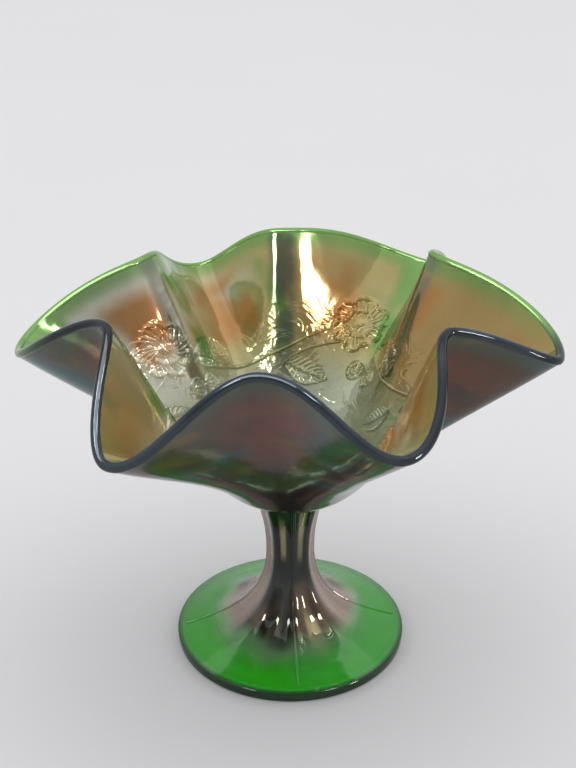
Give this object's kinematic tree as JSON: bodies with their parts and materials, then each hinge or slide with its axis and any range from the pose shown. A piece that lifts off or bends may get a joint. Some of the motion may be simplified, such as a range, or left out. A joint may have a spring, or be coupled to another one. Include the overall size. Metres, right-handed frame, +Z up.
{
  "type": "footed glass bowl",
  "caption": "Footed iridescent pressed-glass bowl: ruffled flaring rim, raised flower sprays inside, faceted waisted stem, low domed round foot.",
  "frame": {"origin": "on the table under the centre of the foot, on the stem's axis", "axes": "+Z up along the stem, -Y towards the viewer, +X to the viewer's right"},
  "size_m": [0.1875, 0.1642, 0.1502],
  "materials": {
    "bowl_glass": "green glass with a golden-olive and rose iridescent lustre",
    "rim_glass": "fire-polished dark blue-green edge",
    "stem_glass": "dark mirror-like lustre",
    "foot_glass": "clear green glass, light lustre near the stem"
  },
  "bodies": {
    "root": {"bowl_dish": "bowl_glass", "bowl_wall": "bowl_glass", "rim_bead": "rim_glass", "base_ring": "stem_glass", "stem": "stem_glass", "foot": "foot_glass", "foot_rim": "foot_glass", "mould_seam_1": "foot_glass", "mould_seam_2": "foot_glass", "mould_seam_3": "foot_glass", "mould_seam_4": "foot_glass", "flower_1": "bowl_glass", "flower_2": "bowl_glass", "flower_3": "bowl_glass", "flower_4": "bowl_glass", "bud_1_1": "bowl_glass", "bud_1_2": "bowl_glass", "bud_2_1": "bowl_glass", "bud_2_2": "bowl_glass", "bud_3_1": "bowl_glass", "bud_3_2": "bowl_glass", "bud_4_1": "bowl_glass", "bud_4_2": "bowl_glass", "branch_1": "bowl_glass", "branch_2": "bowl_glass", "branch_3": "bowl_glass", "branch_4": "bowl_glass", "stalk_1": "bowl_glass", "stalk_2": "bowl_glass", "stalk_3": "bowl_glass", "stalk_4": "bowl_glass", "leaf_1_1": "bowl_glass", "leaf_1_2": "bowl_glass", "leaf_1_3": "bowl_glass", "leaf_1_4": "bowl_glass", "leaf_2_1": "bowl_glass", "leaf_2_2": "bowl_glass", "leaf_2_3": "bowl_glass", "leaf_2_4": "bowl_glass", "leaf_3_1": "bowl_glass", "leaf_3_2": "bowl_glass", "leaf_3_3": "bowl_glass", "leaf_3_4": "bowl_glass", "leaf_4_1": "bowl_glass", "leaf_4_2": "bowl_glass", "leaf_4_3": "bowl_glass", "leaf_4_4": "bowl_glass"}
  },
  "joints": []
}
